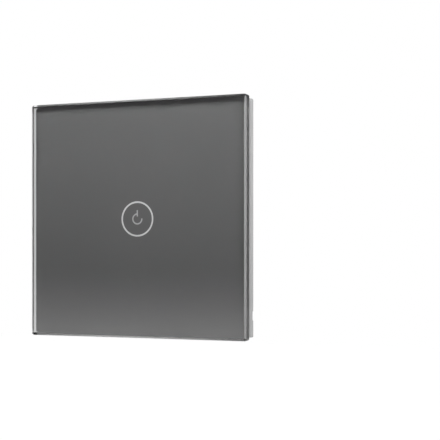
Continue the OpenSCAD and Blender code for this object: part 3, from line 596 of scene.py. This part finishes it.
# %% Tables of finishes
INK_GREY = (0.096, 0.096, 0.0965)
RING_GREY = (0.49, 0.49, 0.49)
MARK_GREY = (0.31, 0.31, 0.31)
FRAME_GREY = (0.40, 0.40, 0.402)
BLACK = (0.0065, 0.0065, 0.007)
rear_face = cad_box[1].y / MM
PINS = [(x, rear_face, z) for x, z in ((-14, -11), (14, -11), (-14, 8), (14, 8), (0, -2))]
INKS = {"grey_print": INK_GREY, "pale_ink": RING_GREY, "mark_ink": MARK_GREY}
PLASTICS = {
    "grey_frame": dict(colour=FRAME_GREY, gloss=0.46, depth=0.006, per_mm=7.0, cloudy=0.03),
    "black_gloss": dict(colour=BLACK, gloss=0.24, depth=0.002, per_mm=5.0, cloudy=0.2, shine=0.3, pins=PINS),
    "black_matte": dict(colour=BLACK, gloss=0.36, depth=0.004, per_mm=8.0, cloudy=0.2, shine=0.2),
    "chip_black": dict(colour=(0.016, 0.016, 0.017), gloss=0.5, depth=0.008, per_mm=14.0, cloudy=0.1),
    "passive_brown": dict(colour=(0.13, 0.075, 0.045), gloss=0.6, depth=0.006, per_mm=16.0, cloudy=0.15),
    "relay_blue": dict(colour=(0.02, 0.07, 0.27), gloss=0.28, depth=0.002, per_mm=5.0),
    "bobbin_white": dict(colour=(0.72, 0.69, 0.60), gloss=0.4, depth=0.003, per_mm=7.0),
    "film_yellow": dict(colour=(0.60, 0.42, 0.04), gloss=0.32, depth=0.002, per_mm=4.0),
    "black_rubber": dict(colour=(0.02, 0.02, 0.02), gloss=0.8, depth=0.01, per_mm=6.0),
    "disc_blue": dict(colour=(0.03, 0.10, 0.26), gloss=0.35, depth=0.02, per_mm=1.5),
    "fuse_brown": dict(colour=(0.14, 0.06, 0.03), gloss=0.4, depth=0.003, per_mm=6.0),
    "ferrite": dict(colour=(0.035, 0.035, 0.04), gloss=0.55, depth=0.012, per_mm=10.0),
}
METALS = {
    "zinc_steel": dict(
        colour=(0.60, 0.61, 0.63), dull=0.34, stretch=(14, 1, 1), stained=0.25, stain=(0.52, 0.52, 0.48)),
    "spring_steel": dict(colour=(0.62, 0.61, 0.58), dull=0.22, stretch=(1, 1, 12)),
    "screw_steel": dict(colour=(0.62, 0.62, 0.64), dull=0.24, stretch=(3, 3, 3)),
    "brass": dict(
        colour=(0.72, 0.50, 0.18), dull=0.26, stretch=(1, 8, 1), stained=0.4, stain=(0.42, 0.26, 0.10)),
    "soft_iron": dict(
        colour=(0.46, 0.46, 0.47), dull=0.38, stretch=(1, 6, 1), stained=0.3, stain=(0.3, 0.26, 0.2)),
    "bare_aluminium": dict(colour=(0.78, 0.79, 0.80), dull=0.25, stretch=(1, 14, 1)),
}
OTHERS = {
    "clear_glass": clear_glass, "clear_plastic": clear_plastic, "black_tape": foam_tape,
    "board_green": solder_mask, "copper_wire": enamelled_wire, "lamp_white": lamp_lens,
}
print(len(PLASTICS), "plastics,", len(METALS), "metals,", len(INKS), "inks and", len(OTHERS), "others")

# %% [markdown]
# Each finish becomes one material with the slot's name, so it looks the same wherever it occurs. A material
# for every piece would be easier to vary, but there would be fifty to keep in step. The glass's ground edges
# have two more, and the mark has its own ink, because it is printed greyer than the ring.

# %% One material for each finish
SATIN_DULL = 0.30
POLISHED_DULL = 0.03
finishes = {slot: finish(slot, maker) for slot, maker in OTHERS.items()}
for slot, colour in INKS.items():
    finishes[slot] = finish(slot, partial(screen_ink, colour=colour))
for slot, row in PLASTICS.items():
    finishes[slot] = finish(slot, partial(moulded, **row))
for slot, row in METALS.items():
    finishes[slot] = finish(slot, partial(rolled, **row))
satin_edge = finish("satin_edge", partial(edge_glass, dull=SATIN_DULL))
polished_edge = finish("polished_edge", partial(edge_glass, dull=POLISHED_DULL))
for name, node in frame["nodes"].items():
    node.data.materials.clear()
    node.data.materials.append(finishes[slot_of[name]])
frame["nodes"]["power_mark"].data.materials[0] = finishes["mark_ink"]
print(len(finishes), "finishes on", len(frame["nodes"]), "nodes")

# %% [markdown]
# ## Meshes
# A piece is built in a bmesh, given smooth faces with true edges kept sharp, and set to ride on the body
# that carries it, or left unattached. Stacked modifiers could make such shapes, but a mesh built point by
# point takes its sizes straight from the measured boxes. Rounded outlines, lofts between them and turned
# shapes are enough for this switch.

# %% Mesh helpers
SHARP_ANGLE = 28
CORNER_STEPS = 10
TURNED_STEPS = 48


def piece(name, shape, nodes, materials=None, sharp=SHARP_ANGLE, bend=None):
    """An object from a bmesh, in place of those nodes; it rides on their body, or is left unattached when
    given a bend.
    """
    bmesh.ops.recalc_face_normals(shape, faces=shape.faces)
    mesh = bpy.data.meshes.new(name)
    shape.to_mesh(mesh)
    shape.free()
    mesh.shade_smooth()
    mesh.set_sharp_from_angle(angle=math.radians(sharp))
    for material in materials or [finishes[slot_of[nodes[0]]]]:
        mesh.materials.append(material)
    made = bpy.data.objects.new(name, mesh)
    bpy.context.scene.collection.objects.link(made)
    if bend:
        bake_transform(made)
    else:
        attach(made, body_of[nodes[0]])
    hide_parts(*nodes)
    even = made.modifiers.new("even_shading", "WEIGHTED_NORMAL")
    even.keep_sharp = True
    return made


def rounded_loop(half_w, half_h, radius, y):
    """Points round a rectangle with round corners, in the plane at y."""
    points = []
    for turn, (sx, sz) in enumerate(((1, 1), (-1, 1), (-1, -1), (1, -1))):
        for i in range(CORNER_STEPS + 1):
            angle = math.radians(90 * (turn + i / CORNER_STEPS))
            x = sx * (half_w - radius) + radius * math.cos(angle)
            z = sz * (half_h - radius) + radius * math.sin(angle)
            points.append(Vector((x, y, z)))
    return points


def loft(shape, loops):
    """Quads from each loop to the next, and a cap at each end; returns the rows of quads."""
    rings = [[shape.verts.new(p) for p in loop] for loop in loops]
    rows = []
    for a, b in zip(rings, rings[1:]):
        n = len(a)
        rows.append([shape.faces.new((a[i], a[(i + 1) % n], b[(i + 1) % n], b[i])) for i in range(n)])
    shape.faces.new(rings[0])
    shape.faces.new(rings[-1])
    return rows


def turned(shape, profile, centre):
    """A shape turned about the y direction through a point; a zero radius closes it."""
    angles = [2 * math.pi * i / TURNED_STEPS for i in range(TURNED_STEPS)]
    rings = []
    for radius, y in profile:
        if radius == 0:
            rings.append([shape.verts.new((centre[0], y, centre[1]))])
            continue
        rings.append([
            shape.verts.new((centre[0] + radius * math.cos(a), y, centre[1] + radius * math.sin(a)))
            for a in angles
        ])
    for a, b in zip(rings, rings[1:]):
        for i in range(TURNED_STEPS):
            j = (i + 1) % TURNED_STEPS
            corners = [a[i % len(a)], a[j % len(a)], b[j % len(b)], b[i % len(b)]]
            shape.faces.new(list(dict.fromkeys(corners)))


print("helpers: piece, rounded_loop, loft and turned")

# %% [markdown]
# ## The glass
# Real panels have ground chamfers with a hair of rounding where the wheel met the polished faces. The ink
# is baked onto the rear face, so light meets it inside the glass. To get that here, the sheet reaches two
# hundredths of a millimetre into the ink's own thickness, and no air gap is left to mirror the room. A
# bevelled box would have the same chamfers, but a loft from loop to loop gives each row of faces its own
# finish: satin on the front chamfer and the side, polished on the upright rear chamfers, and inked on the
# level ones, which the print covers.

# %% The glass sheet
CHAMFER = 0.7 * MM
CORNER = 0.9 * MM
LEAST_CORNER = 0.3 * MM
INK_BITE = 0.02 * MM
ARRIS = 0.05 * MM
ARRIS_STEP = ARRIS * 0.3
REAR_MARGIN = 0.16 * MM
GLASS_SHARP = 12
SATIN, POLISHED, INKED = 1, 2, 3
ROW_LOOKS = 5 * [SATIN] + 2 * [POLISHED] + [INKED]
glass_low, glass_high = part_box("glass_panel")
front, rear = glass_low.y, glass_high.y + INK_BITE
edge_profile = [
    (front, CHAMFER + ARRIS), (front + ARRIS_STEP, CHAMFER - ARRIS_STEP),
    (front + CHAMFER - ARRIS, ARRIS), (front + CHAMFER + ARRIS, 0),
    (rear - CHAMFER - ARRIS, 0), (rear - CHAMFER + ARRIS, ARRIS),
    (rear - ARRIS_STEP, CHAMFER - ARRIS_STEP), (rear, CHAMFER + ARRIS), (rear, CHAMFER + REAR_MARGIN),
]
sheet = bmesh.new()
rows = loft(sheet, [
    rounded_loop(glass_high.x - inset, glass_high.z - inset, max(CORNER - inset, LEAST_CORNER), y)
    for y, inset in edge_profile
])
for row, look in zip(rows, ROW_LOOKS):
    for face in row:
        upright = abs(face.calc_center_median().z) < glass_high.z - CORNER
        face.material_index = look if upright or look == SATIN else INKED
looks = [finishes["clear_glass"], satin_edge, polished_edge, finishes["grey_print"]]
glass = piece("glass_sheet", sheet, ["glass_panel"], looks, GLASS_SHARP)
print("glass sheet:", len(glass.data.vertices), "points")

# %% [markdown]
# ## Eased edges
# No moulded, stamped or cut piece has a perfect edge. Each of these pieces is the measured node's own mesh
# with its flat facets merged and its sharp edges rounded, by more for a moulding and less for a sheet of
# metal. The outside sizes stay, because an edge only loses material. A bevel modifier would round them too,
# but it cannot merge the facets first.

# %% Eased copies of the measured pieces
EDGE_ANGLE = 32
FLAT_ANGLE = 0.5
WELD = 2e-6
EASE_STEPS = 3
EASED_SHARP = 40
eased_edges = {
    "panel_carrier": 0.16, "body_shell": 0.16, "terminal_cover": 0.18, "module_cover": 0.18,
    "mounting_plate": 0.14, "catch_springs": 0.06, "light_guide": 0.10, "touch_board": 0.05,
    "power_board": 0.05, "touch_chip": 0.12, "indicator_leds": 0.08, "sensor_passives": 0.08,
    "board_header": 0.10, "header_pins": 0.12, "terminal_block": 0.10, "terminal_contacts": 0.08,
    "terminal_cage_1": 0.10, "terminal_cage_2": 0.10, "terminal_cage_3": 0.10,
    "terminal_screw_1": 0.12, "terminal_screw_2": 0.12, "terminal_screw_3": 0.12,
    "relay_base": 0.15, "relay_case": 0.30, "relay_bobbin": 0.12, "relay_yoke": 0.08,
    "relay_armature": 0.10, "relay_leaf": 0.05, "relay_pins": 0.12,
    "film_capacitor": 0.50, "capacitor_seal": 0.20, "varistor": 0.70, "fuse": 0.40, "rectifier": 0.25,
    "choke_core": 0.15, "driver_transistor": 0.15, "component_leads": 0.12, "plate_screws": 0.12,
    "module_screws": 0.10, "catch_rivets": 0.25,
}


def eased(node, width):
    """The node's mesh with its edges rounded by that many millimetres."""
    shape = bmesh.new()
    shape.from_mesh(frame["nodes"][node].data)
    bmesh.ops.remove_doubles(shape, verts=shape.verts, dist=WELD)
    flat = math.radians(FLAT_ANGLE)
    bmesh.ops.dissolve_limit(shape, angle_limit=flat, verts=shape.verts, edges=shape.edges)
    least = math.radians(EDGE_ANGLE)
    edges = [e for e in shape.edges if e.calc_face_angle(0) > least]
    bmesh.ops.bevel(
        shape, geom=edges, offset=width * MM, offset_type="OFFSET", segments=EASE_STEPS,
        profile=0.5, affect="EDGES", clamp_overlap=False,
    )
    return shape


for node, width in eased_edges.items():
    piece(node + "_eased", eased(node, width), [node], sharp=EASED_SHARP)
print(len(eased_edges), "pieces with eased edges")

# %% [markdown]
# The relay's hinge spring is fixed to the yoke, folds over it and lies on the armature, so it must follow
# both. Its mesh is cut across into short lengths, and the piece is left unattached to either body.

# %% The hinge spring
HINGE_EASE = 0.05
BEND_CUTS = 8
spring_low, spring_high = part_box("relay_hinge_spring")
hinge_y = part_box("relay_armature")[0].y
bend_y = (spring_low.y + hinge_y) / 2
leaf = eased("relay_hinge_spring", HINGE_EASE)
for i in range(BEND_CUTS + 1):
    cut = Vector((0, bend_y + (hinge_y - bend_y) * i / BEND_CUTS, 0))
    everything = [*leaf.verts, *leaf.edges, *leaf.faces]
    bmesh.ops.bisect_plane(leaf, geom=everything, plane_co=cut, plane_no=(0, 1, 0))
bend = ("base", "armature", (spring_high.x, bend_y, 0), (spring_high.x, hinge_y, 0))
piece("hinge_spring_leaf", leaf, ["relay_hinge_spring"], sharp=EASED_SHARP, bend=bend)
print("hinge spring bends between", round(bend_y / MM, 2), "and", round(hinge_y / MM, 2), "mm")

# %% [markdown]
# ## Wire
# The touch spring carries the finger's touch from the glass to the board: a coil of three turns whose ends
# turn off into short straight legs. The measured model has it with six-sided wire. Here the same path, with
# the same bend at each end, is swept with a round section. A curve with a bevel would also do, but a swept
# mesh keeps the cut ends flat and needs no conversion for export.

# %% Round wire along a path
WIRE = 0.6
COIL_R = 3.6
COIL_TURNS = 3
LEG_BEND = 0.5
BEND_STEPS = 8
TURN_STEPS = 40


def swept(shape, path, radius, axis, sides=12):
    """Round wire along a path that winds about the y direction through a point."""
    loops = []
    for i, point in enumerate(path):
        way = (path[min(i + 1, len(path) - 1)] - path[max(i - 1, 0)]).normalized()
        out = Vector((point.x - axis[0], 0, point.z - axis[1]))
        out = (out - way * out.dot(way)).normalized()
        side = way.cross(out)
        angles = [2 * math.pi * k / sides for k in range(sides)]
        loops.append([point + radius * (out * math.cos(a) + side * math.sin(a)) for a in angles])
    loft(shape, loops)


spring_low, spring_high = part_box("touch_spring")
spring_l = (spring_high.y - spring_low.y) / MM
coil_run = 2 * math.pi * COIL_R * COIL_TURNS
slope = math.atan2(spring_l - 2 * WIRE - 2 * LEG_BEND, coil_run)
bends = [math.pi / 2 + (slope - math.pi / 2) * i / BEND_STEPS for i in range(BEND_STEPS + 1)]
lead_in = [(LEG_BEND * (1 - math.sin(b)), WIRE + LEG_BEND * math.cos(b)) for b in bends]
along = [coil_run * i / (TURN_STEPS * COIL_TURNS) for i in range(1, TURN_STEPS * COIL_TURNS)]
coil = [(lead_in[-1][0] + s, lead_in[-1][1] + s * math.tan(slope)) for s in along]
half_path = [(0, 0), *lead_in]
end = (2 * lead_in[-1][0] + coil_run, spring_l)
unrolled = [*half_path, *coil, *[(end[0] - s, end[1] - h) for s, h in reversed(half_path)]]
path = [
    MM * Vector((COIL_R * math.cos(s / COIL_R), spring_high.y / MM - h, COIL_R * math.sin(s / COIL_R)))
    for s, h in unrolled
]
spring = bmesh.new()
swept(spring, path, WIRE / 2 * MM, (0, 0))
piece("touch_coil", spring, ["touch_spring"])
print("touch spring:", COIL_TURNS, "turns,", round(spring_l, 2), "mm long")

# %% [markdown]
# The relay's coil and the choke are wound with enamelled wire, turn against turn. One long helix gives the
# fine ridges that catch the light. A sleeve just below its crests stands for the layers underneath, so
# nothing shows through between two turns. A bump on the sleeve would be lighter, but its outline would stay
# smooth.

# %% Wound wire
WOUND = {"relay_winding": 0.34, "choke_winding": 0.48}
SLEEVE_DEPTH = 0.6
WOUND_STEPS = 36
WOUND_SIDES = 8

for node, wire in WOUND.items():
    low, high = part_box(node)
    middle = (low + high) / 2
    outer, thick = (high.x - low.x) / 2, wire * MM
    turns = round((high.y - low.y) / thick) - 1
    rise = (high.y - low.y - thick) / turns
    path = []
    for i in range(turns * WOUND_STEPS + 1):
        angle = 2 * math.pi * i / WOUND_STEPS
        x = middle.x + (outer - thick / 2) * math.cos(angle)
        z = middle.z + (outer - thick / 2) * math.sin(angle)
        path.append(Vector((x, low.y + thick / 2 + rise * i / WOUND_STEPS, z)))
    wound = bmesh.new()
    swept(wound, path, thick / 2, (middle.x, middle.z), WOUND_SIDES)
    points = frame["nodes"][node].data.vertices
    bore = min(math.hypot(v.co.x - middle.x, v.co.z - middle.z) for v in points)
    inner = outer - SLEEVE_DEPTH * thick
    ring = [(bore, low.y), (inner, low.y), (inner, high.y), (bore, high.y), (bore, low.y)]
    turned(wound, ring, (middle.x, middle.z))
    bmesh.ops.remove_doubles(wound, verts=wound.verts, dist=WELD)
    piece(node + "_turns", wound, [node])
    print(node, turns, "turns, bore", round(bore / MM, 2), "mm")

# %% [markdown]
# ## The storage capacitor
# Its can is drawn from one disc of aluminium, so the closed end is softly rounded, and the open end is
# rolled into a groove that grips the rubber seal. A cylinder would need cuts for both, but a turned profile
# gives all of it in one list of radii and depths.

# %% Capacitor can
CAN_WALL = 0.48
SEAL_DEPTH = 1.42
LIP = 0.12
LIP_INSIDE = 0.1
GROOVE = [(0, 1.9), (0.06, 2.15), (0.22, 2.4), (0.3, 2.65), (0.22, 2.9), (0.06, 3.15), (0, 3.4)]
END_ROUND = [(0, 0.7), (0.09, 0.35), (0.35, 0.09), (0.7, 0)]
END_PATCH = 0.3
can_low, can_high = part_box("storage_capacitor")
can_r = (can_high.x - can_low.x) / 2 / MM
can_l = (can_high.y - can_low.y) / MM
bore_r = can_r - CAN_WALL
profile = [
    (0, SEAL_DEPTH), (bore_r, SEAL_DEPTH),
    (bore_r, LIP), (bore_r + LIP_INSIDE, 0), (can_r - LIP, 0), (can_r, LIP),
    *[(can_r - inset, depth) for inset, depth in GROOVE],
    *[(can_r - inset, can_l - depth) for inset, depth in END_ROUND],
    (END_PATCH, can_l), (0, can_l),
]
can = bmesh.new()
centre = ((can_low.x + can_high.x) / 2, (can_low.z + can_high.z) / 2)
turned(can, [(r * MM, can_low.y + d * MM) for r, d in profile], centre)
piece("storage_can", can, ["storage_capacitor"])
print("capacitor can:", round(2 * can_r, 2), "by", round(can_l, 2), "mm")
